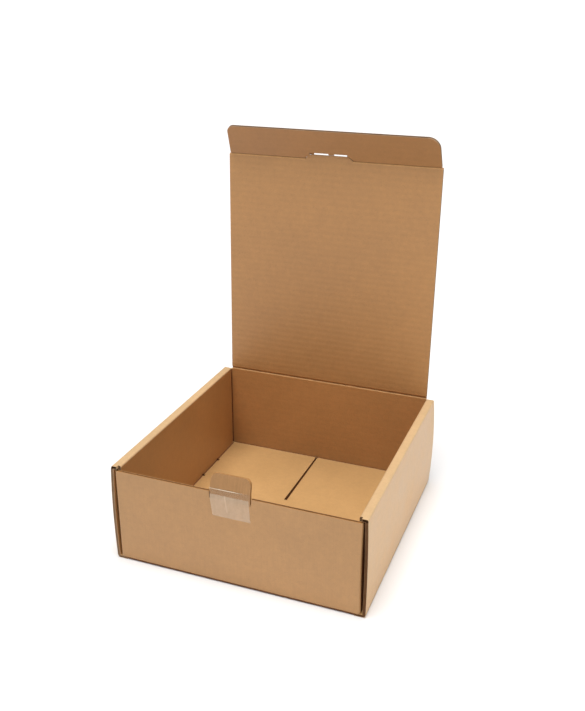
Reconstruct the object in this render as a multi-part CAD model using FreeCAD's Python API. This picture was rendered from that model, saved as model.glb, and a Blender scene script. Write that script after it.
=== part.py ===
import FreeCAD, Part
import math
import os

from FreeCAD import Vector

# Corrugated mailer box, folded from one sheet, lid standing open. Millimetres, +Z up, +X to the
# box's right, +Y to the rear, origin at the middle of the base. Each piece is drawn with the front
# wall's outer face at Y = 0 and moved to that origin at the end.

# Sheet
board = 3.5
layer_gap = 0.15
inner_fold_radius = 0.5
rim_radius = 2.2

# Tray
outer_width = 305.0
tray_depth = 309.4
side_height = 124.3
side_front = 0.4
side_rear_setback = 6.4
side_bow = 2.5
front_drop = 5.3
flap_length = 112.0
foot_gap = 0.25
rim_setback = 0.6

# Tabs of the inner side walls, in slots of the base
foot_tab_length = 45.0
foot_slot_play = 1.4
foot_slot_clearance = 0.35
foot_slot_inset = 57.0
foot_tab_lift = 0.2

# Slit in the base, from the rear wall forwards
floor_slit_x = -11.2
floor_slit_width = 2.8
floor_slit_length = 121.5
floor_slit_chamfer = 2.0

# Lid and tuck flap
hinge_rise = 0.3
lid_side_clearance = 0.5
lid_front_clearance = 0.3
lid_lean_angle = 1.7
tuck_length = 39.7
tuck_side_inset = 1.7
tuck_taper = 1.1
tuck_left_corner_radius = 9.0
tuck_right_corner_radius = 15.0
tuck_open_angle = 23.75
tuck_closed_angle = 100.0
crease_gap = 0.1
back_bevel_angle = 30.0
bevel_spare_angle = 0.5

# Front lock: tab on the front wall, tongue on the lid, hole in the tuck flap
lock_x = -3.9
lock_tab_width = 48.2
lock_tab_slit = 1.1
lock_tab_slit_depth = 7.8
lock_tab_rise = 5.4
lock_tab_tip_length = 17.0
lock_tab_lean_angle = 18.0
lock_tab_taper = 0.3
lock_tab_corner_radius = 8.5
tongue_side_margin = 0.8
tongue_side_slope = 6.2
tongue_length = 4.6
tongue_clearance = 0.3
tongue_relief = 2.2
lock_slot_far_edge = 9.4

# Clear tape over the root of the lock tab: how far it runs down the wall, and its corners from
# the middle of the tab
tape_thickness = 0.12
tape_drop = 29.9
tape_bottom_left = -21.6
tape_bottom_right = 24.0
tape_top_left = -24.3
tape_top_right = 21.5
tape_skew_height = 21.0

# How far a cutting shape runs past what it cuts, and the shortest edge that is drawn
over = 1.0
shortest_edge = 1e-6

fold_radius = board + inner_fold_radius
front_height = side_height - front_drop
half_width = outer_width / 2
inner_wall_x = half_width - 3 * board - 2 * layer_gap
flap_outer_x = half_width - board - layer_gap
side_length = tray_depth - side_front - side_rear_setback
rear_inner = tray_depth - board
hinge_y = tray_depth - board / 2
hinge_height = side_height + hinge_rise
foot_slot_length = foot_tab_length + 2 * foot_slot_play
lid_width = 2 * (inner_wall_x - lid_side_clearance)
lid_length = hinge_y - 3 * board / 2 - lid_front_clearance
tuck_width = lid_width - 2 * tuck_side_inset
lock_tab_root = front_height - lock_tab_slit_depth
lock_tab_crease = front_height + lock_tab_rise
tongue_tip_width = lock_tab_width + 2 * tongue_side_margin
tongue_base_width = tongue_tip_width + 2 * tongue_side_slope
tape_bottom = front_height - tape_drop


def face(start, moves, plane):
    """Flat face from a start point and moves: a point for a line, a pair of points for an arc."""
    place = {
        "XY": lambda p: Vector(p[0], p[1], 0),
        "XZ": lambda p: Vector(p[0], 0, p[1]),
        "YZ": lambda p: Vector(0, p[0], p[1]),
    }[plane]
    edges = []
    at = start
    for move in list(moves) + [start]:
        is_arc = isinstance(move[0], tuple)
        end = move[1] if is_arc else move
        if is_arc:
            edges.append(Part.Arc(place(at), place(move[0]), place(end)).toShape())
        elif math.dist(at, end) > shortest_edge:
            edges.append(Part.makeLine(place(at), place(end)))
        at = end
    return Part.Face(Part.Wire(edges))


def on_circle(centre, radius, degrees):
    angle = math.radians(degrees)
    return (centre[0] + radius * math.cos(angle), centre[1] + radius * math.sin(angle))


def box(x0, x1, y0, y1, z0, z1):
    return Part.makeBox(x1 - x0, y1 - y0, z1 - z0, Vector(x0, y0, z0))


def mirrored(shape):
    return shape.mirror(Vector(0, 0, 0), Vector(1, 0, 0))


def both_sides(shape):
    return [shape, mirrored(shape)]


def quarter_fold(centre, first_degrees, plane):
    """Section of the sheet bent through a right angle about a centre."""
    last = first_degrees + 90
    middle = first_degrees + 45
    inner, outer = inner_fold_radius, fold_radius
    return face(
        on_circle(centre, inner, first_degrees),
        [
            on_circle(centre, outer, first_degrees),
            (on_circle(centre, outer, middle), on_circle(centre, outer, last)),
            on_circle(centre, inner, last),
            (on_circle(centre, inner, middle), on_circle(centre, inner, first_degrees)),
        ],
        plane,
    )


def side_wall():
    """Right side: base edge, bowed outer panel, rim of two folds and inner panel, one section."""
    x_out, x_in = half_width, inner_wall_x
    x_base = half_width - 3 * fold_radius
    bottom = (x_out - fold_radius, fold_radius)
    top_out = (x_out - rim_radius, side_height - rim_radius)
    top_in = (x_in + rim_radius, side_height - rim_radius)
    under_rim = side_height - board
    section = face(
        (x_base, 0),
        [
            (x_out - fold_radius, 0),
            (on_circle(bottom, fold_radius, -45), (x_out, fold_radius)),
            ((x_out + side_bow, side_height / 2), (x_out, side_height - rim_radius)),
            (on_circle(top_out, rim_radius, 45), (x_out - rim_radius, side_height)),
            (x_in + rim_radius, side_height),
            (on_circle(top_in, rim_radius, 135), (x_in, side_height - rim_radius)),
            (x_in, board + foot_gap),
            (x_in + board, board + foot_gap),
            (x_in + board, under_rim),
            (x_out - board, under_rim),
            ((x_out - board + side_bow, side_height / 2), (x_out - board, board)),
            (x_base, board),
        ],
        "XZ",
    )
    section.translate(Vector(0, side_front, 0))
    wall = section.extrude(Vector(0, side_length, 0))
    front_clear = board + rim_setback
    inner_front = box(
        x_in - over, x_in + board + layer_gap, -over, front_clear, board + foot_gap, side_height + over
    )
    return wall.cut(inner_front)


def foot_tab_spans():
    """Start and end along Y of each base slot, rear one and its mirror near the front."""
    rear_end = rear_inner - foot_slot_inset
    rear_start = rear_end - foot_slot_length
    front_start = board + rear_inner - rear_end
    return [(rear_start, rear_end), (front_start, front_start + foot_slot_length)]


def foot_tabs():
    x0, x1 = inner_wall_x, inner_wall_x + board
    tabs = []
    for start, end in foot_tab_spans():
        inset = (end - start - foot_tab_length) / 2
        tabs.append(box(x0, x1, start + inset, end - inset, foot_tab_lift, board + 2 * foot_gap))
    return tabs


def foot_slots():
    x0 = inner_wall_x - foot_slot_clearance
    x1 = inner_wall_x + board + foot_slot_clearance
    return [box(x0, x1, start, end, -over, board + foot_gap / 2) for start, end in foot_tab_spans()]


def base_panel():
    x = half_width - 2 * fold_radius
    return box(-x, x, fold_radius, tray_depth - fold_radius, 0, board)


def floor_slit():
    x0 = floor_slit_x - floor_slit_width / 2
    x1 = x0 + floor_slit_width
    y1 = tray_depth - fold_radius
    y0 = rear_inner - floor_slit_length
    slit = face(
        (x0, y0),
        [(x1, y0), (x1, y1 - floor_slit_chamfer), (x1 + floor_slit_chamfer, y1), (x0, y1)],
        "XY",
    )
    slit.translate(Vector(0, 0, -over))
    return slit.extrude(Vector(0, 0, board + 2 * over))


def end_wall(height, flap_height):
    """Front wall at Y = 0: bottom fold, panel, and a trapped flap folded back at each end."""
    x_panel = flap_outer_x - fold_radius
    bottom = quarter_fold((fold_radius, fold_radius), 180, "YZ")
    bottom.translate(Vector(-x_panel, 0, 0))
    parts = [bottom.extrude(Vector(2 * x_panel, 0, 0))]
    parts.append(box(-x_panel, x_panel, 0, board, fold_radius, height))
    flap_foot = board + 2 * foot_gap
    corner = quarter_fold((x_panel, fold_radius), 270, "XY")
    corner.translate(Vector(0, 0, flap_foot))
    corner = corner.extrude(Vector(0, 0, flap_height - flap_foot))
    flap_inner_x = flap_outer_x - board
    flap = box(flap_inner_x, flap_outer_x, fold_radius, flap_length, flap_foot, flap_height)
    parts += both_sides(corner) + both_sides(flap)
    return parts


def turned_to_rear(shape):
    turned = shape.mirror(Vector(0, 0, 0), Vector(0, 1, 0))
    turned.translate(Vector(0, tray_depth, 0))
    return turned


def rear_wall():
    top = hinge_height - board
    parts = [turned_to_rear(part) for part in end_wall(top, front_height)]
    ridge = crease_end(lid_width, back_bevel_angle, closing_bevel(90))
    ridge.rotate(Vector(0, 0, 0), Vector(1, 0, 0), -90)
    ridge.translate(Vector(0, hinge_y, hinge_height))
    return parts + [ridge]


def closing_bevel(fold):
    """Slope from the board's normal that lets two panels meet when folded to an angle."""
    return fold / 2 + bevel_spare_angle


def crease_end(width, top_bevel, under_bevel):
    """End of a panel at a crease on the X axis, the panel lying towards +Y, bevelled on each face."""
    half = board / 2
    top_run = half * math.tan(math.radians(top_bevel))
    under_run = half * math.tan(math.radians(under_bevel))
    section = face(
        (crease_gap, 0),
        [
            (crease_gap + top_run, half),
            (board, half),
            (board, -half),
            (crease_gap + under_run, -half),
        ],
        "YZ",
    )
    section.translate(Vector(-width / 2, 0, 0))
    return section.extrude(Vector(width, 0, 0))


def crease_cutter(width, top_bevel, under_bevel):
    """What a crease end lacks of a square panel end."""
    reach = board / 2 + over
    top_run = reach * math.tan(math.radians(top_bevel))
    under_run = reach * math.tan(math.radians(under_bevel))
    section = face(
        (crease_gap, 0),
        [
            (crease_gap + top_run, reach),
            (-board, reach),
            (-board, -reach),
            (crease_gap + under_run, -reach),
        ],
        "YZ",
    )
    section.translate(Vector(-width / 2, 0, 0))
    return section.extrude(Vector(width, 0, 0))


def stand_up(shape, lean, y, z):
    """Places a flat panel so that its +Y points up, leaning back, from a crease at y, z."""
    shape = shape.copy()
    shape.rotate(Vector(0, 0, 0), Vector(1, 0, 0), 90 - lean)
    shape.translate(Vector(0, y, z))
    return shape


def tuck_crease():
    lean = math.radians(lid_lean_angle)
    return (hinge_y + lid_length * math.sin(lean), hinge_height + lid_length * math.cos(lean))


def tongue_outline(extra, shift, root):
    """Tongue seen flat, from y = root, larger by extra on its sides and moved out by shift."""
    base = tongue_base_width / 2 + extra
    tip = tongue_tip_width / 2 + extra
    end = tongue_length + shift
    return [(-base, root), (base, root), (base, shift), (tip, end), (-tip, end), (-base, shift)]


def flat_plate(points):
    outline = face(points[0], points[1:], "XY")
    outline.translate(Vector(lock_x, 0, -board / 2))
    return outline.extrude(Vector(0, 0, board))


def lid():
    x = lid_width / 2
    half = board / 2
    panel = box(-x, x, 0, lid_length, -half, half)
    near_end = crease_cutter(lid_width + 2 * over, closing_bevel(90), back_bevel_angle)
    far_end = crease_cutter(lid_width + 2 * over, closing_bevel(tuck_closed_angle), back_bevel_angle)
    far_end = far_end.mirror(Vector(0, 0, 0), Vector(0, 1, 0))
    far_end.translate(Vector(0, lid_length, 0))
    tongue = flat_plate(tongue_outline(0, 0, -2 * board))
    tongue.translate(Vector(0, lid_length, 0))
    panel = panel.cut(near_end).cut(far_end).fuse(tongue).removeSplitter()
    return stand_up(panel, lid_lean_angle, hinge_y, hinge_height)


def tuck_flap():
    root = tuck_width / 2
    end = root - tuck_taper
    left_radius = tuck_left_corner_radius
    right_radius = tuck_right_corner_radius
    left = (left_radius - end, tuck_length - left_radius)
    right = (end - right_radius, tuck_length - right_radius)
    outline = face(
        (-root, 0),
        [
            (root, 0),
            (end, right[1]),
            (on_circle(right, right_radius, 45), (right[0], tuck_length)),
            (left[0], tuck_length),
            (on_circle(left, left_radius, 135), (-end, left[1])),
        ],
        "XY",
    )
    outline.translate(Vector(0, 0, -board / 2))
    panel = outline.extrude(Vector(0, 0, board))
    near_end = crease_cutter(tuck_width + 2 * over, closing_bevel(tuck_closed_angle), back_bevel_angle)
    tip = tongue_tip_width / 2 + tongue_clearance
    hole = tongue_outline(tongue_clearance, tongue_relief, -board)
    hole[3:5] = [hole[3], (tip, lock_slot_far_edge), (-tip, lock_slot_far_edge), hole[4]]
    panel = panel.cut(near_end).cut(flat_plate(hole))
    y, z = tuck_crease()
    return stand_up(panel, lid_lean_angle - tuck_open_angle, y, z)


def lock_tab():
    """Tab on the front wall, creased above the wall so that its tip leans inwards."""
    lean = math.radians(lock_tab_lean_angle)
    half = board / 2
    root = lock_tab_root + crease_gap
    run = half * math.tan(math.radians(back_bevel_angle))
    tip_y = lock_tab_tip_length * math.sin(lean)
    tip_z = lock_tab_crease + lock_tab_tip_length * math.cos(lean)
    back_y = tip_y + board * math.cos(lean)
    back_z = tip_z - board * math.sin(lean)
    back_crease = lock_tab_crease - board * math.tan(lean / 2)
    section = face(
        (half, root),
        [
            (board, root + run),
            (board, back_crease),
            (back_y, back_z),
            (tip_y, tip_z),
            (0, lock_tab_crease),
            (0, root + run),
        ],
        "YZ",
    )
    base = lock_tab_width / 2
    section.translate(Vector(lock_x - base - over, 0, 0))
    strip = section.extrude(Vector(2 * (base + over), 0, 0))
    end = base - lock_tab_taper
    radius = lock_tab_corner_radius
    side_end = tip_z - radius
    right = (lock_x + end - radius, side_end)
    left = (lock_x - end + radius, side_end)
    front_view = face(
        (lock_x - base, lock_tab_root - over),
        [
            (lock_x + base, lock_tab_root - over),
            (lock_x + base, lock_tab_crease),
            (lock_x + end, side_end),
            (on_circle(right, radius, 45), (lock_x + end - radius, tip_z)),
            (lock_x - end + radius, tip_z),
            (on_circle(left, radius, 135), (lock_x - end, side_end)),
            (lock_x - base, lock_tab_crease),
        ],
        "XZ",
    )
    front_view.translate(Vector(0, -over, 0))
    return strip.common(front_view.extrude(Vector(0, back_y + 2 * over, 0)))


def lock_tab_notch():
    """Gap in the front wall for the tab and its slits, down to the tab's crease."""
    x = lock_tab_width / 2 + lock_tab_slit
    half = board / 2
    run = half * math.tan(math.radians(back_bevel_angle))
    bottom = lock_tab_root - crease_gap
    top = front_height + over
    section = face(
        (half, bottom),
        [
            (board, bottom - run),
            (board + over, bottom - run),
            (board + over, top),
            (-over, top),
            (-over, bottom - run),
            (0, bottom - run),
        ],
        "YZ",
    )
    section.translate(Vector(lock_x - x, 0, 0))
    return section.extrude(Vector(2 * x, 0, 0))


def clear_tape():
    skew_top = tape_bottom + tape_skew_height
    film = face(
        (tape_bottom_left, tape_bottom),
        [
            (tape_bottom_right, tape_bottom),
            (tape_top_right, lock_tab_crease),
            (tape_top_left, lock_tab_crease),
            (tape_top_left, skew_top),
        ],
        "XZ",
    )
    film.translate(Vector(lock_x, 0, 0))
    return film.extrude(Vector(0, -tape_thickness, 0))


def tray():
    parts = both_sides(side_wall())
    parts += end_wall(front_height, front_height)
    parts += rear_wall()
    body = base_panel().multiFuse(parts)
    for slot in foot_slots():
        for side in both_sides(slot):
            body = body.cut(side)
    tabs = [side for tab in foot_tabs() for side in both_sides(tab)]
    body = body.cut(floor_slit()).cut(lock_tab_notch())
    return body.multiFuse(tabs).removeSplitter()


def single_solid(shape):
    return shape.Solids[0] if len(shape.Solids) == 1 else shape


nodes = {
    "tray": tray(),
    "lid": lid(),
    "tuck_flap": tuck_flap(),
    "lock_tab": lock_tab(),
    "clear_tape": clear_tape(),
}

os.makedirs("parts", exist_ok=True)
for name, shape in nodes.items():
    shape = single_solid(shape)
    shape.translate(Vector(0, -tray_depth / 2, 0))
    shape.exportStep(f"parts/{name}.step")
    bounds = shape.BoundBox
    print(
        name, "solids", len(shape.Solids), "volume", round(shape.Volume, 1), "valid", shape.isValid(),
        [round(v, 2) for v in (bounds.XMin, bounds.XMax, bounds.YMin, bounds.YMax, bounds.ZMin, bounds.ZMax)],
    )
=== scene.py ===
import math

import bmesh
import bpy
from mathutils import Matrix, Vector, noise


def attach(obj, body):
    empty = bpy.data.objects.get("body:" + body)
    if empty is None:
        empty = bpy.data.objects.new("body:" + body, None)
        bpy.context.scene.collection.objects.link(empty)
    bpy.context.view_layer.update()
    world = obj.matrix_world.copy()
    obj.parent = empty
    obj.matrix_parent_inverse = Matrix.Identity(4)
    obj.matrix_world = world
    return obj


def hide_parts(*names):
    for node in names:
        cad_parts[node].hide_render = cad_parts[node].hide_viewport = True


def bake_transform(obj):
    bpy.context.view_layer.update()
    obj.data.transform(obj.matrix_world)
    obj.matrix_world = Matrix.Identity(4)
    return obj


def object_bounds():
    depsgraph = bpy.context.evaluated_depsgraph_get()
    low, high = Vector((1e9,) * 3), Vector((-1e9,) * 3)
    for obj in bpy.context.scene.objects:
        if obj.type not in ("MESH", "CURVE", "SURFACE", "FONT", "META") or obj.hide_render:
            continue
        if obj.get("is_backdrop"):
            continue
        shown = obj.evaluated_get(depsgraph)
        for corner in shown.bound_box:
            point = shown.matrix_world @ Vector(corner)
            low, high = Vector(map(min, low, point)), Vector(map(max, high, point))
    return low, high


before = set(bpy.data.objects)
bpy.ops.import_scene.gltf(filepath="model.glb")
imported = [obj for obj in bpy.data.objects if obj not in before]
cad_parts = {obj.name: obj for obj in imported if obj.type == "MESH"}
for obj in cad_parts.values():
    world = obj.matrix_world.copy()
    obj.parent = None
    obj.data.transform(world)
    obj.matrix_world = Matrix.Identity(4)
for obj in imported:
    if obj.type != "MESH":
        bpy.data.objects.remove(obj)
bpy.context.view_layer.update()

# Sizes in metres, in the frame's axes: X to the right, Y to the rear, Z up
BOARD = 0.0035
HALF_BOARD = BOARD / 2
JUST_INSIDE = 0.00003
TOLERANCE = 0.0001
LINER = 0.00042
EDGE_DEPTH = 0.0008
FLUTE_PITCH = 0.00756
FLUTE_HEIGHT = 0.0024
HALF_DEPTH = 0.1547
FRONT_TOP = 0.119
RIM_BEND = 0.1195

# The side walls' layers as distances from the middle, and where the flaps between them end
INNER_WALL = 0.1416
FLAP_START, FLAP_OUTSIDE = 0.1446, 0.14885
OUTER_PANEL = 0.1480
FLAP_REAR = -0.0387

# The creases that move, the lock's middle and the tape's ends and fold
CREASE_TURN = 0.0012
LID_HINGE = Vector((0, 0.15295, 0.1246))
LID_LENGTH = 0.3021
LID_HALF_WIDTH = 0.1412
TUCK_LENGTH = 0.0397
LID_LEAN = math.radians(1.7)
TUCK_LEAN = math.radians(1.7 - 23.75)
TAB_ROOT = Vector((0, -0.15295, 0.1112))
LOCK_X = -0.0039
TAPE_BOTTOM, TAPE_FOLD, TAPE_TOP = 0.0891, 0.1238, 0.1246


def up_direction(lean):
    """Up a panel that leans to the rear."""
    return Vector((0, math.sin(lean), math.cos(lean)))


def out_of(up):
    """Out of a panel's front, for the direction up it."""
    return Vector((0, -up.z, up.y))


def aside(x):
    return Vector((x, 0, 0))


LID_UP = up_direction(LID_LEAN)
TUCK_UP = up_direction(TUCK_LEAN)
TUCK_CREASE = LID_HINGE + LID_LENGTH * LID_UP


def feed(tree, socket, value):
    """Links a socket to another one, or sets its value."""
    if isinstance(value, bpy.types.NodeSocket):
        tree.links.new(value, socket)
    else:
        socket.default_value = value


def add_node(tree, kind, inputs, **settings):
    node = tree.nodes.new(kind)
    for key, value in settings.items():
        setattr(node, key, value)
    for key, value in inputs.items():
        feed(tree, node.inputs[key], value)
    return node


class Nodes:
    """A new material, with short names for the shader nodes it takes."""

    def __init__(self, name):
        self.material = bpy.data.materials.new(name)
        self.material.use_nodes = True
        self.tree = self.material.node_tree
        self.shader = self.tree.nodes["Principled BSDF"]

    def add(self, kind, inputs, **settings):
        return add_node(self.tree, kind, inputs, **settings)

    def set(self, name, value):
        feed(self.tree, self.shader.inputs[name], value)

    def place(self):
        return self.add("ShaderNodeTexCoord", {}).outputs["Object"]

    def math(self, operation, a, b=0.0, c=0.0):
        return self.add("ShaderNodeMath", {0: a, 1: b, 2: c}, operation=operation).outputs[0]

    def noise(self, vector, scale, detail=2.0, roughness=0.5):
        inputs = {"Vector": vector, "Scale": scale, "Detail": detail, "Roughness": roughness}
        return self.add("ShaderNodeTexNoise", inputs).outputs["Fac"]

    def stretched_noise(self, vector, stretch, scale=1.0, detail=2.0, roughness=0.5):
        stretched = self.add("ShaderNodeMapping", {"Vector": vector, "Scale": stretch})
        return self.noise(stretched.outputs["Vector"], scale, detail, roughness)

    def mix(self, factor, a, b, blend_type="MIX"):
        node = self.add("ShaderNodeMix", {}, data_type="RGBA", blend_type=blend_type)
        for name, value in (("Factor", factor), ("A", a), ("B", b)):
            feed(self.tree, node.inputs[name], value)
        return node.outputs["Result"]

    def ramp(self, value, low, high, to_low=0.0, to_high=1.0):
        inputs = {"Value": value, "From Min": low, "From Max": high, "To Min": to_low, "To Max": to_high}
        return self.add("ShaderNodeMapRange", inputs).outputs["Result"]

    def toned(self, colour, tone):
        """The colour, lighter where the tone is above 1 and darker where it is below."""
        shade = self.add("ShaderNodeCombineColor", {0: tone, 1: tone, 2: tone}).outputs[0]
        return self.mix(1.0, (*colour, 1), shade, "MULTIPLY")

    def bump(self, height, strength, distance):
        node = self.add("ShaderNodeBump", {"Height": height, "Strength": strength, "Distance": distance})
        self.set("Normal", node.outputs["Normal"])


SHEEN = (0.32, 0.42)
MATT = (0.40, 0.50)
NO_PAINTED_SHADE = (1.0, 1.0)
FLECK_COLOUR = (0.30, 0.16, 0.07, 1)


def kraft_paper(name, across, colour, bands=0.35, gloss=MATT, streaks=0.0, painted_shade_ramp=NO_PAINTED_SHADE):
    """Kraft liner: fibres, cloudy tone, bands of the flutes beneath, upright streaks, optional painted shade
    and light up the wall.
    """
    n = Nodes(name)
    place = n.place()
    dot = n.add("ShaderNodeVectorMath", {0: place, 1: tuple(across)}, operation="DOT_PRODUCT")
    phase = n.math("MULTIPLY", dot.outputs["Value"], 2 * math.pi / FLUTE_PITCH)
    wander = n.stretched_noise(place, (3, 9, 9), 2.0, 1.0)
    phase = n.math("ADD", phase, n.math("MULTIPLY", wander, 2.4))
    waves = n.math("SINE", phase)
    fibres = n.stretched_noise(place, (420, 1500, 1500), detail=3.0, roughness=0.65)
    cross_fibres = n.stretched_noise(place, (1700, 700, 700), roughness=0.6)
    upright = n.stretched_noise(place, (600, 20, 25), roughness=0.6)
    clouds = n.noise(place, 16.0, 3.0, 0.6)
    grain = n.noise(place, 150.0, 3.0, 0.7)
    tone = n.math("MULTIPLY_ADD", waves, 0.03 * bands, 1.0)
    textures = ((fibres, 0.16), (cross_fibres, 0.10), (clouds, 0.22), (grain, 0.20), (upright, streaks))
    for texture, amount in textures:
        tone = n.math("MULTIPLY", tone, n.math("MULTIPLY_ADD", texture, amount, 1 - amount / 2))
    # Painted shade and light: the tone ramps from darker near the base to lighter at the wall's top.
    if painted_shade_ramp != NO_PAINTED_SHADE:
        height = n.add("ShaderNodeSeparateXYZ", {0: place}).outputs["Z"]
        tone = n.math("MULTIPLY", tone, n.ramp(height, BOARD, FRONT_TOP, *painted_shade_ramp))
    flecks = n.ramp(n.stretched_noise(place, (500, 900, 900), detail=0.0), 0.70, 0.78)
    n.set("Base Color", n.mix(n.math("MULTIPLY", flecks, 0.18), n.toned(colour, tone), FLECK_COLOUR))
    n.set("Roughness", n.ramp(clouds, 0.3, 0.7, *gloss))
    n.set("Specular IOR Level", 0.5)
    relief = n.math("MULTIPLY", waves, bands)
    for texture, amount in ((fibres, 0.16), (grain, 0.25)):
        relief = n.math("ADD", relief, n.math("MULTIPLY", texture, amount))
    n.bump(relief, 0.6, 0.0001)
    return n.material


def fluting_paper(name, colour):
    """Rougher brown paper of the wavy middle layer and cut edges, also for painted shade in gaps and painted
    highlights.
    """
    n = Nodes(name)
    place = n.place()
    fibres = n.noise(place, 1400.0, 3.0, 0.7)
    clouds = n.noise(place, 120.0, 2.0, 0.6)
    rough = n.math("MULTIPLY_ADD", fibres, 0.7, 0.6)
    cloudy = n.math("MULTIPLY_ADD", clouds, 0.5, 0.75)
    n.set("Base Color", n.toned(colour, n.math("MULTIPLY", rough, cloudy)))
    n.set("Roughness", 0.9)
    n.set("Specular IOR Level", 0.0)
    n.bump(fibres, 0.6, 0.0002)
    return n.material


MILKY_FILM = (0.95, 0.75, 0.54, 1)
FOLD_PAINTED_HIGHLIGHT = (1.0, 0.87, 0.66, 1)


def tape_film():
    """Packing film: milky where its glue grips the board, clear above, with a painted highlight along its
    fold.
    """
    n = Nodes("clear_packing_film")
    place = n.place()
    parts = n.add("ShaderNodeSeparateXYZ", {0: place}).outputs
    x, z = parts["X"], parts["Z"]

    def faded(value, *ramps):
        for along, low, high, to_low, to_high in ramps:
            value = n.math("MULTIPLY", value, n.ramp(along, low, high, to_low, to_high))
        return value

    streaks = n.stretched_noise(place, (260, 40, 40), detail=3.0, roughness=0.6)
    blotches = n.noise(place, 160.0, 3.0, 0.6)
    cloud = n.math("MULTIPLY_ADD", streaks, 0.35, n.math("MULTIPLY_ADD", blotches, 0.35, 0.62))
    milk = faded(n.math("MULTIPLY", cloud, 0.44), (z, 0.1158, 0.1170, 1.0, 0.12))
    from_overlap = n.math("ABSOLUTE", n.math("ADD", n.math("MULTIPLY_ADD", z, 0.13, x), -0.0048))
    overlap = n.ramp(from_overlap, 0.0003, 0.0013, 0.16, 0.0)
    overlap = faded(overlap, (z, 0.1165, 0.1175, 1.0, 0.0), (z, 0.0950, 0.0975, 0.0, 1.0))
    # Painted highlight along the fold, dimmer at the left end and fading out to the right.
    fold = n.math("COMPARE", z, TAPE_FOLD, 0.0004)
    fold = faded(fold, (x, 0.000, 0.013, 1.0, 0.0), (x, -0.027, -0.010, 0.45, 1.0))
    n.set("Alpha", n.math("MAXIMUM", n.math("ADD", milk, overlap), n.math("MULTIPLY", fold, 0.95)))
    n.set("Base Color", n.mix(fold, MILKY_FILM, FOLD_PAINTED_HIGHLIGHT))
    n.set("Roughness", 0.22)
    n.set("Specular IOR Level", 0.5)
    n.bump(n.stretched_noise(place, (500, 120, 120)), 0.5, 0.0002)
    return n.material


ACROSS_HEIGHT, ACROSS_DEPTH = (0, 0, 1), (0, 1, 0)
FRONT_OUTSIDE = kraft_paper(
    "front_and_rear_outside", ACROSS_HEIGHT, (0.550, 0.294, 0.116), bands=0.08, gloss=SHEEN, streaks=0.10
)
SIDE_OUTSIDE = kraft_paper("side_outside", ACROSS_DEPTH, (0.685, 0.408, 0.168), bands=0.08, gloss=SHEEN)
# The rear wall's inside has painted shade low down and painted light near its top.
REAR_INSIDE = kraft_paper("rear_inside", ACROSS_HEIGHT, (0.530, 0.270, 0.101), bands=0.25, painted_shade_ramp=(0.80, 1.23))
SIDE_INSIDE = kraft_paper("side_inside", ACROSS_DEPTH, (0.460, 0.228, 0.078), bands=0.1)
BASE_INSIDE = kraft_paper("base_inside", ACROSS_DEPTH, (0.485, 0.282, 0.111), bands=0.15)
RIM = kraft_paper("rolled_rim", ACROSS_DEPTH, (0.620, 0.410, 0.215), bands=0.1)
LID_INSIDE = kraft_paper("lid_inside", LID_UP, (0.592, 0.306, 0.117), bands=0.5)
LID_OUTSIDE = kraft_paper("lid_outside", LID_UP, (0.600, 0.330, 0.135), bands=0.08, gloss=SHEEN)
# The tuck's inside is the lid's inner liner, darkened as painted shade.
TUCK_INSIDE_PAINTED_SHADE = kraft_paper("tuck_inside_painted_shade", TUCK_UP, (0.435, 0.206, 0.070))
TUCK_OUTSIDE = kraft_paper("tuck_outside", TUCK_UP, (0.600, 0.330, 0.135), bands=0.08, gloss=SHEEN)
TAB_OUTSIDE = kraft_paper("lock_tab_outside", ACROSS_HEIGHT, (0.425, 0.222, 0.088), bands=0.05, streaks=0.30)
LINER_EDGE = fluting_paper("liner_edge", (0.52, 0.355, 0.22))
CUT_EDGE = fluting_paper("cut_edge", (0.34, 0.215, 0.125))
SHADED_EDGE = fluting_paper("shaded_cut_edge", (0.19, 0.094, 0.045))
SHADED_RIM = fluting_paper("shaded_liner_edge", (0.29, 0.155, 0.078))
TAB_EDGE = fluting_paper("lock_tab_edge", (0.40, 0.205, 0.078))
FLUTING = fluting_paper("fluting_paper", (0.40, 0.26, 0.15))
TOP_FLUTE = fluting_paper("front_top_flute", (0.45, 0.22, 0.085))
TOP_RIM = fluting_paper("front_top_rim", (0.58, 0.31, 0.115))
TOP_EDGE = fluting_paper("front_top_edge", (0.30, 0.125, 0.036))
# Near-black paper as painted shade in deep hollows, slits and slots.
HOLLOW_PAINTED_SHADE = fluting_paper("shaded_hollow", (0.060, 0.027, 0.013))
# Dark paper as painted shade in gaps, crease cores, corners and undersides.
GAP_PAINTED_SHADE = fluting_paper("shaded_gap", (0.27, 0.120, 0.055))
# Light paper as a painted highlight on the rounded tops of creases.
RIDGE_PAINTED_HIGHLIGHT = fluting_paper("ridge_painted_highlight", (0.74, 0.42, 0.185))
PRESSED = kraft_paper("pressed_crease", ACROSS_HEIGHT, (0.58, 0.29, 0.110), bands=0.0)
PRESSED_OUTSIDE = kraft_paper(
    "pressed_crease_outside", ACROSS_HEIGHT, (0.58, 0.32, 0.13), bands=0.0, gloss=SHEEN
)


def new_piece(name, made, materials):
    mesh = bpy.data.meshes.new(name)
    made.to_mesh(mesh)
    made.free()
    for material in materials:
        mesh.materials.append(material)
    piece = bpy.data.objects.new(name, mesh)
    bpy.context.collection.objects.link(piece)
    return piece


BOARD_BENDS, TAB_BENDS, PAPER_BENDS = 25, 12, 60


def smooth_by_angle(made, degrees):
    """Shades the mesh smooth across every edge that turns less than an angle."""
    limit = math.radians(degrees)
    for face in made.faces:
        face.smooth = True
    for edge in made.edges:
        edge.smooth = len(edge.link_faces) == 2 and edge.calc_face_angle(0) < limit


SAME_PLACE = 2e-6
SAME_PLANE = 0.012


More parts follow.
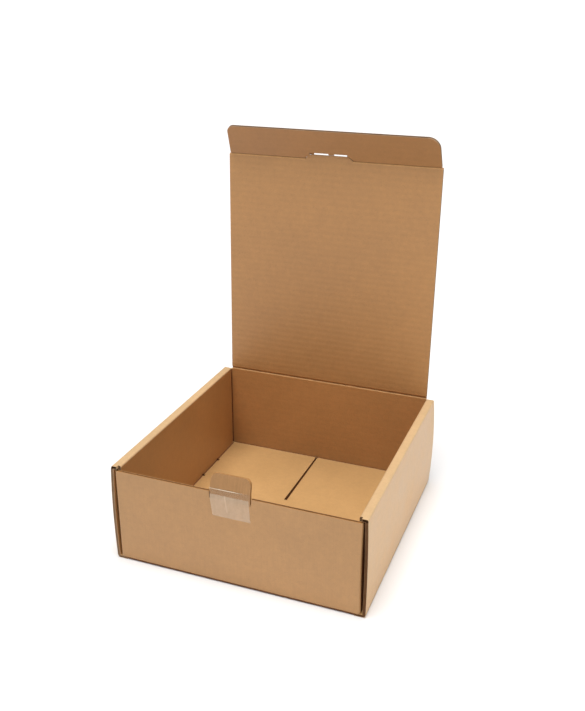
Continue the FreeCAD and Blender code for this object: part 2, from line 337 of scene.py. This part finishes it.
def merged_copy(node):
    """The node's mesh with its doubles merged and its flat faces made whole."""
    made = bmesh.new()
    made.from_mesh(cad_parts[node].data)
    bmesh.ops.remove_doubles(made, verts=made.verts, dist=SAME_PLACE)
    bmesh.ops.dissolve_limit(made, angle_limit=SAME_PLANE, verts=made.verts, edges=made.edges)
    made.faces.ensure_lookup_table()
    return made


def split(made, faces, around, at, normal):
    """Cuts faces along a plane, with the corners and edges around them."""
    bmesh.ops.bisect_plane(made, geom=[*around, *faces], plane_co=at, plane_no=normal)


def open_cut_edges(made, is_cut):
    """Leaves a rim of liner round each cut edge and sinks the hollow middle between the liners."""
    cut = [face for face in made.faces if is_cut(face)]
    even = {"faces": cut, "use_even_offset": True, "use_boundary": True}
    rims = bmesh.ops.inset_region(made, thickness=LINER, **even)
    walls = bmesh.ops.inset_region(made, thickness=LINER / 8, depth=-EDGE_DEPTH, **even)
    return set(cut), set(rims["faces"]), set(walls["faces"])


# Shares of a face's normal along an axis, by which it is square to it, nearly or mostly so
SQUARE_TO_AXIS, NEARLY_SQUARE, MOSTLY = 0.9999, 0.9, 0.7
SIDE_ENDS = 0.1475
REAR_HALF = 0.14
ABOVE_GROUND = 0.002


def tray_is_cut(face):
    """The raw ends of the side walls' layers, and the front wall's top."""
    centre, normal = face.calc_center_median(), face.normal
    faces_out = centre.y * normal.y > SQUARE_TO_AXIS * abs(centre.y)
    side_end = faces_out and abs(centre.x) > INNER_WALL and abs(centre.y) > SIDE_ENDS
    top = normal.z > SQUARE_TO_AXIS and abs(centre.z - FRONT_TOP) < TOLERANCE
    return (side_end and centre.z > ABOVE_GROUND) or top


def panel_is_cut(up):
    """Raw edges of a panel: faces that look along it."""
    out, along = out_of(up), 0.04
    return lambda face: abs(face.normal.dot(out)) < along


def tab_is_cut(face):
    """Raw edges of the lock tab: its sides with their round corners, and its top."""
    sideways, upwards = 0.3, 0.85
    return abs(face.normal.x) > sideways or face.normal.z > upwards


def make_board(node, papers, is_cut, pick, seams=()):
    """Board of a node with opened edges; pick says which of the papers any other face shows."""
    made = merged_copy(node)
    for x in seams:
        rear = [face for face in made.faces if face.calc_center_median().y > REAR_HALF]
        inside = [face for face in rear if face.normal.y < -NEARLY_SQUARE]
        around = {part for face in inside for part in (*face.verts, *face.edges)}
        split(made, inside, around, (x, 0, 0), (1, 0, 0))
    picked = {face: pick(face) for face in made.faces}
    cut, rims, walls = open_cut_edges(made, is_cut)
    for face in made.faces:
        if face in rims:
            paper = LINER_EDGE
        elif face in cut or face in walls:
            paper = CUT_EDGE
        else:
            paper = picked.get(face, CUT_EDGE)
        face.material_index = papers.index(paper)
    smooth_by_angle(made, BOARD_BENDS)
    return made


def finish_board(made, name, node, materials):
    """Puts a board in the scene, in place of its node."""
    piece = new_piece(name, made, materials)
    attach(piece, node)
    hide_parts(node)


TRAY_PAPERS = [CUT_EDGE, LINER_EDGE, FRONT_OUTSIDE, SIDE_OUTSIDE, REAR_INSIDE, SIDE_INSIDE, BASE_INSIDE, RIM]
TRAY_PAPERS += [GAP_PAINTED_SHADE, TOP_EDGE, RIDGE_PAINTED_HIGHLIGHT, PRESSED, HOLLOW_PAINTED_SHADE, SHADED_EDGE, SHADED_RIM, TOP_RIM]
INNER_PANEL_OUTSIDE = 0.1455
OUTER_FACE = 0.1518
REAR_CREASE_Y, REAR_CREASE_Z = 0.1512, 0.1215
BASE_FOLD_Y, BASE_FOLD_TOP = 0.1508, 0.0036


def tray_paper(face):
    """Which of the tray's papers a face shows, from the way it faces and where it is."""
    centre, normal = face.calc_center_median(), face.normal
    from_middle = abs(centre.x)
    looks_out = centre.x * normal.x > 0
    if centre.z > RIM_BEND and from_middle > INNER_WALL:
        # Painted shade on the rim's underside.
        return RIM if normal.z > -0.5 else GAP_PAINTED_SHADE
    # Painted highlight along the ridge of the rear wall's top crease.
    on_rear_crease = centre.y > REAR_CREASE_Y and centre.z > REAR_CREASE_Z and normal.z > 0.1
    if on_rear_crease and from_middle < INNER_WALL:
        return RIDGE_PAINTED_HIGHLIGHT
    if abs(normal.x) > NEARLY_SQUARE and FLAP_START < from_middle < OUTER_FACE:
        if centre.x < -FLAP_OUTSIDE - TOLERANCE and not looks_out:
            return PRESSED
        # Faces in the narrow gaps between a side wall's layers take painted shade.
        hidden = centre.y < 0 or not looks_out or from_middle < INNER_PANEL_OUTSIDE
        return GAP_PAINTED_SHADE if hidden else SIDE_OUTSIDE
    # Painted shade on the underside of the base's fold, as a contact shadow.
    leans_down = -SQUARE_TO_AXIS < normal.z < -0.15
    if centre.z < BASE_FOLD_TOP and leans_down and abs(centre.y) > BASE_FOLD_Y:
        return GAP_PAINTED_SHADE
    if abs(normal.y) > MOSTLY:
        if centre.y * normal.y > 0:
            return FRONT_OUTSIDE
        # Painted shade where the walls' insides run behind the side panels.
        return GAP_PAINTED_SHADE if from_middle > INNER_WALL else REAR_INSIDE
    if abs(normal.z) > MOSTLY:
        return BASE_INSIDE if normal.z > 0 else SIDE_OUTSIDE
    return SIDE_OUTSIDE if looks_out else SIDE_INSIDE


# How far the front corners are out of true, at the bottom, middle and top of the wall
RIGHT_FLAP_PRESSED = (0.0012, 0.0024, 0.0018)
LEFT_FLAP_PRESSED = 0.0002
RIGHT_SIDE_OUT = (0.0011, -0.0014, -0.0003)
LEFT_SIDE_OUT = (0.0012, 0.0, 0.0003)
PRESSED_AT = (0.025, 0.045, 0.065, 0.085, 0.105, 0.1203)
SIDE_FRONT, SIDE_BEND, OUT_WITHIN = 0.1500, 0.1216, 0.0012
INNER_PANEL_BACK, INNER_PANEL_REAR, SHORTER = 0.1453, 0.1490, 0.0006


def through(height, bottom, middle, top):
    """Smooth amount at a height of the wall, from its values at the bottom, middle and top."""
    t = min(1, max(0, height / FRONT_TOP))
    return bottom * (1 - t) * (1 - 2 * t) + middle * 4 * t * (1 - t) + top * t * (2 * t - 1)


def press_front_corners(made):
    """Presses the front wall's ends in, moves the side walls' fronts, shortens the inner panels' rears."""
    for height in PRESSED_AT:
        front = [face for face in made.faces if face.calc_center_median().y < FLAP_REAR]
        split(made, front, (*made.verts, *made.edges), (0, 0, height), (0, 0, 1))
    for vert in made.verts:
        co = vert.co
        right, from_middle = co.x > 0, abs(co.x)
        outwards = 1 if right else -1
        on_flap = FLAP_START < from_middle < FLAP_OUTSIDE + TOLERANCE / 2 and co.y < FLAP_REAR
        if on_flap and co.z < FRONT_TOP + TOLERANCE:
            share = (from_middle - FLAP_START) / (FLAP_OUTSIDE - FLAP_START)
            share *= min(1, (FLAP_REAR - co.y) / (FLAP_REAR + HALF_DEPTH))
            amount = through(co.z, *RIGHT_FLAP_PRESSED) if right else LEFT_FLAP_PRESSED
            co.x -= amount * share * outwards
        elif from_middle > OUTER_PANEL and co.y < -SIDE_FRONT and co.z < SIDE_BEND:
            share = min(1, (from_middle - OUTER_PANEL) / OUT_WITHIN)
            amount = through(co.z, *(RIGHT_SIDE_OUT if right else LEFT_SIDE_OUT))
            co.x += amount * share * outwards
        elif INNER_WALL < from_middle < INNER_PANEL_BACK and SIDE_ENDS < co.y < INNER_PANEL_REAR:
            co.y -= SHORTER


def repaint(face, paper):
    face.material_index = TRAY_PAPERS.index(paper)


def two_sided(up, inside, outside):
    """Inside paper on the face that looks forward, outside paper on the other."""
    out = out_of(up)
    return lambda face: inside if face.normal.dot(out) > 0 else outside


tray_made = make_board("tray", TRAY_PAPERS, tray_is_cut, tray_paper, (-INNER_WALL, INNER_WALL))
for face in tray_made.faces:
    on_top = face.normal.z > NEARLY_SQUARE and abs(face.calc_center_median().z - FRONT_TOP) < 2 * EDGE_DEPTH
    if on_top and TRAY_PAPERS[face.material_index] in (CUT_EDGE, LINER_EDGE):
        repaint(face, TOP_EDGE if TRAY_PAPERS[face.material_index] == CUT_EDGE else TOP_RIM)
press_front_corners(tray_made)
# Painted shade: cut edges in the hollow of the side walls' front rolls, and darker copies of the right
# side's front edges.
for face in tray_made.faces:
    centre = face.calc_center_median()
    paper = TRAY_PAPERS[face.material_index]
    at_side_front = centre.y < -SIDE_FRONT and abs(centre.x) > INNER_WALL
    if at_side_front and paper in (CUT_EDGE, LINER_EDGE):
        if centre.z > PRESSED_AT[-1] and paper == CUT_EDGE:
            repaint(face, HOLLOW_PAINTED_SHADE)
        elif centre.x > 0 and centre.z > ABOVE_GROUND:
            repaint(face, SHADED_EDGE if paper == CUT_EDGE else SHADED_RIM)
finish_board(tray_made, "tray_board", "tray", TRAY_PAPERS)
for node, name, up, inside, outside in (
    ("lid", "lid_board", LID_UP, LID_INSIDE, LID_OUTSIDE),
    ("tuck_flap", "tuck_board", TUCK_UP, TUCK_INSIDE_PAINTED_SHADE, TUCK_OUTSIDE),
):
    papers = [CUT_EDGE, LINER_EDGE, inside, outside]
    made = make_board(node, papers, panel_is_cut(up), two_sided(up, inside, outside))
    finish_board(made, name, node, papers)
tab_made = merged_copy("lock_tab")
tab_papers = [TAB_EDGE, TAB_OUTSIDE, SIDE_INSIDE]
for face in tab_made.faces:
    inside_or_out = SIDE_INSIDE if face.normal.y > 0.2 else TAB_OUTSIDE
    face.material_index = tab_papers.index(TAB_EDGE if tab_is_cut(face) else inside_or_out)
smooth_by_angle(tab_made, TAB_BENDS)
finish_board(tab_made, "tab_board", "lock_tab", tab_papers)


class Crease:
    """A fold line between two flat panels, for strips of paper that bend along it."""

    rows = 16
    longest_column = 0.02

    def __init__(self, at, lean_before, lean_after, before, after):
        self.at, self.leans, self.bodies = at, (lean_before, lean_after), (before, after)

    def point(self, x, along, outwards):
        """Point at a distance along the panels and outwards (to the rear) from their middle plane."""
        share = min(1, max(0, along / CREASE_TURN / 2 + 0.5))
        lean = self.leans[0] + (self.leans[1] - self.leans[0]) * share * share * (3 - 2 * share)
        up = up_direction(lean)
        return aside(x) + self.at + along * up - outwards * out_of(up)

    def strip(self, name, spans, start, end, outwards, material):
        made = bmesh.new()
        steps = [start + (end - start) * k / self.rows for k in range(self.rows + 1)]
        for x0, x1 in spans:
            columns = max(1, round((x1 - x0) / self.longest_column))
            across = [x0 + (x1 - x0) * i / columns for i in range(columns + 1)]
            grid = [[made.verts.new(self.point(x, along, outwards)) for along in steps] for x in across]
            fill(made, grid)
        made.normal_update()
        smooth_by_angle(made, PAPER_BENDS)
        piece = new_piece(name, made, [material])
        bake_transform(piece)


def fill(made, grid):
    """Faces between the columns of a grid of corners."""
    for left, right in zip(grid, grid[1:]):
        for k in range(len(left) - 1):
            made.faces.new((left[k], right[k], right[k + 1], left[k + 1]))


# Strips of paper in the middle of the board and just inside its rear and front faces
CORE, TO_REAR, TO_FRONT = 0.0, HALF_BOARD - JUST_INSIDE, JUST_INSIDE - HALF_BOARD
CORE_REACH, FACE_REACH = 0.0018, 0.0024
hinge = Crease(LID_HINGE, 0.0, LID_LEAN, "tray", "lid")
hinge.strip("hinge_crease_core", [(-0.1408, 0.1408)], -CORE_REACH, CORE_REACH, CORE, PRESSED)
hinge.strip("hinge_crease_outside", [(-0.1410, 0.1410)], -FACE_REACH, FACE_REACH, TO_REAR, PRESSED_OUTSIDE)
tuck = Crease(TUCK_CREASE, LID_LEAN, TUCK_LEAN, "lid", "tuck_flap")
tuck_end, tongue_end = 0.1392, 0.0315
beside_tongue = [(-tuck_end, LOCK_X - tongue_end), (LOCK_X + tongue_end, tuck_end)]
# Painted shade in the tuck crease's core.
tuck.strip("tuck_crease_core", beside_tongue, -CORE_REACH, CORE_REACH, CORE, GAP_PAINTED_SHADE)
tuck.strip("tuck_crease_outside", beside_tongue, -FACE_REACH, FACE_REACH, TO_REAR, PRESSED_OUTSIDE)
# A painted highlight along the tuck crease's inner ridge.
tuck.strip("tuck_crease_ridge", beside_tongue, -0.0028, -0.0003, TO_FRONT, RIDGE_PAINTED_HIGHLIGHT)
tuck.strip("tuck_crease_inside", beside_tongue, 0.0006, 0.0028, TO_FRONT, TUCK_INSIDE_PAINTED_SHADE)
root = Crease(TAB_ROOT, 0.0, 0.0, "tray", "lock_tab")
tab_end = 0.0240
across_tab = [(LOCK_X - tab_end, LOCK_X + tab_end)]
root.strip("tab_crease_core", across_tab, -0.0016, 0.0016, CORE, PRESSED)
root.strip("tab_crease_outside", across_tab, -0.0022, 0.0022, TO_FRONT, TAB_OUTSIDE)


def plate(made, corners, low, high, place):
    """Flat plate with a given outline and thickness, put in its place by a function."""
    bottom, top = [[made.verts.new(place(u, v, t)) for u, v in corners] for t in (low, high)]
    made.faces.new(bottom[::-1])
    made.faces.new(top)
    for i in range(len(corners)):
        j = (i + 1) % len(corners)
        made.faces.new((bottom[i], bottom[j], top[j], top[i]))


def loose_piece(name, made, material, body):
    bmesh.ops.recalc_face_normals(made, faces=made.faces)
    piece = new_piece(name, made, [material])
    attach(piece, body)


def on_tray(u, v, t):
    return Vector((u, v, t))


def on_tuck(u, v, t):
    """Place on the tuck flap: u from the lock's middle, v from the crease, t forwards."""
    return TUCK_CREASE + aside(LOCK_X + u) + v * TUCK_UP + t * out_of(TUCK_UP)


def rectangle(u0, u1, v0, v1):
    return [(u0, v0), (u1, v0), (u1, v1), (u0, v1)]


def beside_wall(made, side, outer, inner, start, end, low, high):
    """Plate along a side wall, between two distances from the middle, from start to end in depth."""
    plate(made, rectangle(*sorted((side * outer, side * inner)), start, end), low, high, on_tray)


# Painted shade: dark plates in the base's slit and foot slots, and along the walls' feet
IN_BASE = 0.0032
FLAT_SHADE, FLAT_SLOT, FLAT_SLOT_END = 0.00352, 0.00353, 0.00355
SLIT_LEFT, SLIT_RIGHT, SLIT_FRONT, SLIT_REAR = -0.0127, -0.0097, 0.0296, 0.1508
SLOT_STARTS, SLOT_LENGTH, SLOT_END = (-0.0942, 0.0464), 0.0478, 0.0016
FOOT = 0.1418
slit_front_flare = [(-0.0138, SLIT_FRONT), (-0.0126, SLIT_FRONT), (-0.0126, 0.1200)]
slit = rectangle(SLIT_LEFT, SLIT_RIGHT, SLIT_FRONT, SLIT_REAR)
made = bmesh.new()
plate(made, slit, 0.0006, 0.0009, on_tray)
plate(made, slit_front_flare, IN_BASE, FLAT_SLOT, on_tray)
for side in (-1, 1):
    for slot in SLOT_STARTS:
        beside_wall(made, side, FOOT, 0.1404, slot, slot + SLOT_LENGTH, IN_BASE, FLAT_SLOT)
        for start in (slot, slot + SLOT_LENGTH - SLOT_END):
            end = start + SLOT_END
            beside_wall(made, side, 0.14555, 0.14135, start, end, 0.0002, 0.0005)
            beside_wall(made, side, FOOT, 0.1382, start - 0.0010, end + 0.0012, IN_BASE, FLAT_SLOT_END)
            beside_wall(made, side, FOOT, 0.14085, start - 0.0006, end + 0.0008, IN_BASE, 0.0049)
loose_piece("slit_shadow_paper", made, HOLLOW_PAINTED_SHADE, "tray")
made = bmesh.new()
for side in (-1, 1):
    for inner, high in ((0.1402, FLAT_SHADE), (0.1409, 0.0041)):
        beside_wall(made, side, INNER_WALL, inner, -0.1485, 0.1485, IN_BASE, high)
plate(made, rectangle(-0.1402, 0.1402, 0.1504, 0.1514), IN_BASE, FLAT_SHADE, on_tray)
plate(made, rectangle(-0.1406, 0.1406, 0.1510, 0.1514), IN_BASE, 0.0044, on_tray)
loose_piece("inner_panel_foot_shadow", made, GAP_PAINTED_SHADE, "tray")

# Lips, a nick that isn't cut through and a torn bit of liner at the locking hole
LIP_END, LIP_FAR, LIP_NEAR = 0.0254, 0.0096, 0.0048
SIDE_LIP, NICK = (-0.00175, -0.00135), (-0.00165, -0.0014)
UPPER_LIP, TORN = (0.00138, 0.00173), (0.00178, 0.00190)
made = bmesh.new()
for side, inner in ((-1, 0.0204), (1, 0.0233)):
    lip = [(0.0289, 0.00195), (0.0316, 0.00195), (0.0316, 0.0023), (LIP_END, 0.0069), (LIP_END, LIP_FAR)]
    lip += [(inner, LIP_FAR), (inner, LIP_NEAR), (0.0250, LIP_NEAR)]
    plate(made, [(side * u, v) for u, v in lip], *SIDE_LIP, on_tuck)
torn_liner = [(-0.0272, 0.0026), (-0.0314, 0.0026), (-LIP_END, 0.0069), (-0.0238, LIP_NEAR)]
plate(made, torn_liner, *TORN, on_tuck)
plate(made, rectangle(-0.0014, 0.0062, 0.0049, 0.0092), *NICK, on_tuck)
plate(made, rectangle(-0.0253, 0.0253, 0.00875, LIP_FAR), *UPPER_LIP, on_tuck)
loose_piece("slot_lips", made, TUCK_INSIDE_PAINTED_SHADE, "tuck_flap")


def flute_tree():
    """Geometry Nodes: one wave of the middle layer, repeated along a cut edge."""
    tree = bpy.data.node_groups.new("fluted_edge", "GeometryNodeTree")
    sizes = {"Waves": 1, "Pitch": FLUTE_PITCH, "Height": FLUTE_HEIGHT, "Depth": 0.0007, "Paper": 0.00026}
    for name, value in sizes.items():
        kind = "NodeSocketInt" if name == "Waves" else "NodeSocketFloat"
        tree.interface.new_socket(name, in_out="INPUT", socket_type=kind).default_value = value
    tree.interface.new_socket("Material", in_out="INPUT", socket_type="NodeSocketMaterial")
    tree.interface.new_socket("Geometry", in_out="OUTPUT", socket_type="NodeSocketGeometry")
    sources = tree.nodes.new("NodeGroupInput").outputs
    pitch = sources["Pitch"]

    def add(kind, inputs, **settings):
        return add_node(tree, kind, inputs, **settings).outputs[0]

    def maths(operation, a, b=0.0):
        return add("ShaderNodeMath", {0: a, 1: b}, operation=operation)

    grid = {"Size X": pitch, "Size Y": sources["Depth"], "Vertices X": 13, "Vertices Y": 2}
    cell = add("GeometryNodeMeshGrid", grid)
    along = add("ShaderNodeSeparateXYZ", {0: add("GeometryNodeInputPosition", {})})
    phase = maths("DIVIDE", maths("MULTIPLY", along, 2 * math.pi), pitch)
    wave = maths("MULTIPLY", maths("SINE", phase), maths("MULTIPLY", sources["Height"], 0.5))
    lifted = add("ShaderNodeCombineXYZ", {"Z": wave})
    cell = add("GeometryNodeSetPosition", {"Geometry": cell, "Offset": lifted})
    sheet = {"Mesh": cell, "Offset Scale": sources["Paper"], "Individual": False}
    cell = add("GeometryNodeExtrudeMesh", sheet)
    step = add("ShaderNodeCombineXYZ", {"X": pitch})
    first = add("ShaderNodeCombineXYZ", {"X": maths("MULTIPLY", pitch, 0.5)})
    line = add("GeometryNodeMeshLine", {"Count": sources["Waves"], "Start Location": first, "Offset": step})
    waves = add("GeometryNodeInstanceOnPoints", {"Points": line, "Instance": cell})
    waves = add("GeometryNodeRealizeInstances", {"Geometry": waves})
    waves = add("GeometryNodeSetMaterial", {"Geometry": waves, "Material": sources["Material"]})
    tree.links.new(waves, tree.nodes.new("NodeGroupOutput").inputs[0])
    return tree


FLUTES = flute_tree()


def flutes_along(made, start, end, across, sideways, waves, paper=FLUTING):
    """Adds the wavy layer from start to end, flat for a single wave; across points from liner to liner."""
    carrier = bpy.data.objects.new("flute_carrier", bpy.data.meshes.new("flute_carrier"))
    bpy.context.collection.objects.link(carrier)
    modifier = carrier.modifiers.new("flutes", "NODES")
    modifier.node_group = FLUTES
    identifiers = {item.name: item.identifier for item in FLUTES.interface.items_tree}
    settings = {
        "Waves": waves,
        "Pitch": (end - start).length / waves,
        "Height": FLUTE_HEIGHT if waves > 1 else 0.0,
        "Material": paper,
    }
    for name, value in settings.items():
        modifier[identifiers[name]] = value
    bpy.context.view_layer.update()
    mesh = bpy.data.meshes.new_from_object(carrier.evaluated_get(bpy.context.evaluated_depsgraph_get()))
    carrier.modifiers.remove(modifier)
    along = (end - start).normalized()
    mesh.transform(Matrix((along, sideways, across)).transposed().to_4x4())
    mesh.transform(Matrix.Translation(start))
    made.from_mesh(mesh)
    bpy.data.objects.remove(carrier)


SUNK = 0.0005
END_MARGIN = 0.002
TO_RIGHT, TO_TOP = Vector((1, 0, 0)), Vector((0, 0, 1))
made = bmesh.new()
for side in (-1, 1):
    low = LID_HINGE + aside(side * (LID_HALF_WIDTH - SUNK)) + END_MARGIN * LID_UP
    high = low + (LID_LENGTH - 2 * END_MARGIN) * LID_UP
    flutes_along(made, low, high, out_of(LID_UP), TO_RIGHT, 40)
loose_piece("lid_flutes", made, FLUTING, "lid")
made = bmesh.new()
for side, length, waves in ((-1, 0.030, 4), (1, 0.0242, 3)):
    low = aside(side * (0.1395 - SUNK)) + TUCK_CREASE + END_MARGIN * TUCK_UP
    high = aside(side * (0.1385 - SUNK)) + TUCK_CREASE + length * TUCK_UP
    flutes_along(made, low, high, out_of(TUCK_UP), TO_RIGHT, waves)
far = TUCK_CREASE + (TUCK_LENGTH - SUNK) * TUCK_UP
flutes_along(made, far + aside(-0.128), far + aside(0.1228), out_of(TUCK_UP), TUCK_UP, 1)
loose_piece("tuck_flutes", made, FLUTING, "tuck_flap")
made = bmesh.new()
top = Vector((0, -HALF_DEPTH + HALF_BOARD, FRONT_TOP - SUNK))
to_rear = Vector((0, 1, 0))
for x0, x1 in ((-0.140, LOCK_X - 0.0255), (LOCK_X + 0.0255, 0.140)):
    flutes_along(made, top + aside(x0), top + aside(x1), to_rear, TO_TOP, 1, TOP_FLUTE)
loose_piece("front_wall_flute", made, TOP_FLUTE, "tray")


def film_over_root():
    """Strip of tape: lies on the wall, runs up over the tab's root and stands proud along its fold."""
    made = bmesh.new()
    columns, rows = 40, 44
    off_wall, deepest_wrinkle, fold_height, fold_width = 0.00018, 0.00010, 0.0009, 0.0007
    left_edge, left_skew, skew_height = -0.0255, 0.0027, 0.021
    right_edge, right_skew = 0.0201, 0.0025
    grid = []
    for i in range(columns + 1):
        s = i / columns
        line = []
        for k in range(rows + 1):
            t = k / rows
            z = TAPE_BOTTOM + t * (TAPE_TOP - TAPE_BOTTOM)
            left = left_edge - left_skew * min(1, (z - TAPE_BOTTOM) / skew_height)
            right = right_edge - right_skew * t
            x = left + s * (right - left)
            wrinkle = noise.noise(Vector((x * 320, 0, z * 90))) * deepest_wrinkle
            from_fold = (z - TAPE_FOLD) / fold_width
            ridge = fold_height * math.exp(-(from_fold**2)) * max(0, 1 - 0.8 * s)
            line.append(made.verts.new((x, -HALF_DEPTH - off_wall - abs(wrinkle) - ridge, z)))
        grid.append(line)
    fill(made, grid)
    made.normal_update()
    smooth_by_angle(made, PAPER_BENDS)
    return new_piece("tape_strip", made, [tape_film()])


tape = film_over_root()
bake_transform(tape)
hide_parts("clear_tape")

# Floor, light and camera
bpy.ops.mesh.primitive_plane_add(size=120)
floor = bpy.context.object
floor.name = "pale_floor"
pale = Nodes("pale_floor")
pale.set("Base Color", (0.84, 0.84, 0.84, 1))
pale.set("Roughness", 0.9)
floor.data.materials.append(pale.material)
floor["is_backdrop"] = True

# The camera sees a white background, which lights the box only faintly
WORLD_LIGHT = 0.08
world = bpy.data.worlds.new("white_studio")
world.use_nodes = True
seen = add_node(world.node_tree, "ShaderNodeLightPath", {}).outputs["Is Camera Ray"]
level = add_node(world.node_tree, "ShaderNodeMapRange", {"Value": seen, "To Min": WORLD_LIGHT})
sky = world.node_tree.nodes["Background"]
feed(world.node_tree, sky.inputs["Strength"], level.outputs["Result"])
feed(world.node_tree, sky.inputs["Color"], (1, 1, 1, 1))
bpy.context.scene.world = world


SOFTNESS = math.radians(40)


def soft_sun(name, strength, azimuth, elevation):
    """Broad soft light; azimuth 0 shines from the front and 90 from the right."""
    light = bpy.data.lights.new(name, "SUN")
    light.energy = strength
    light.angle = SOFTNESS
    lamp = bpy.data.objects.new(name, light)
    a, e = math.radians(azimuth), math.radians(elevation)
    source = Vector((math.sin(a) * math.cos(e), -math.cos(a) * math.cos(e), math.sin(e)))
    lamp.rotation_mode = "QUATERNION"
    lamp.rotation_quaternion = (-source).to_track_quat("-Z", "Y")
    bpy.context.collection.objects.link(lamp)


soft_sun("overhead_softbox", strength=3.5, azimuth=0, elevation=85)
soft_sun("front_softbox", strength=0.5, azimuth=0, elevation=65)
soft_sun("right_softbox", strength=0.5, azimuth=90, elevation=18)

camera_data = bpy.data.cameras.new("camera")
camera_data.lens = 44.612
camera_data.sensor_width = 36
camera = bpy.data.objects.new("camera", camera_data)
camera.location = (0.3535, -0.8965, 0.6300)
camera.rotation_euler = [math.radians(angle) for angle in (67.119, -0.144, 21.075)]
bpy.context.collection.objects.link(camera)
bpy.context.scene.camera = camera
bpy.context.scene.view_settings.view_transform = "Standard"

low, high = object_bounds()
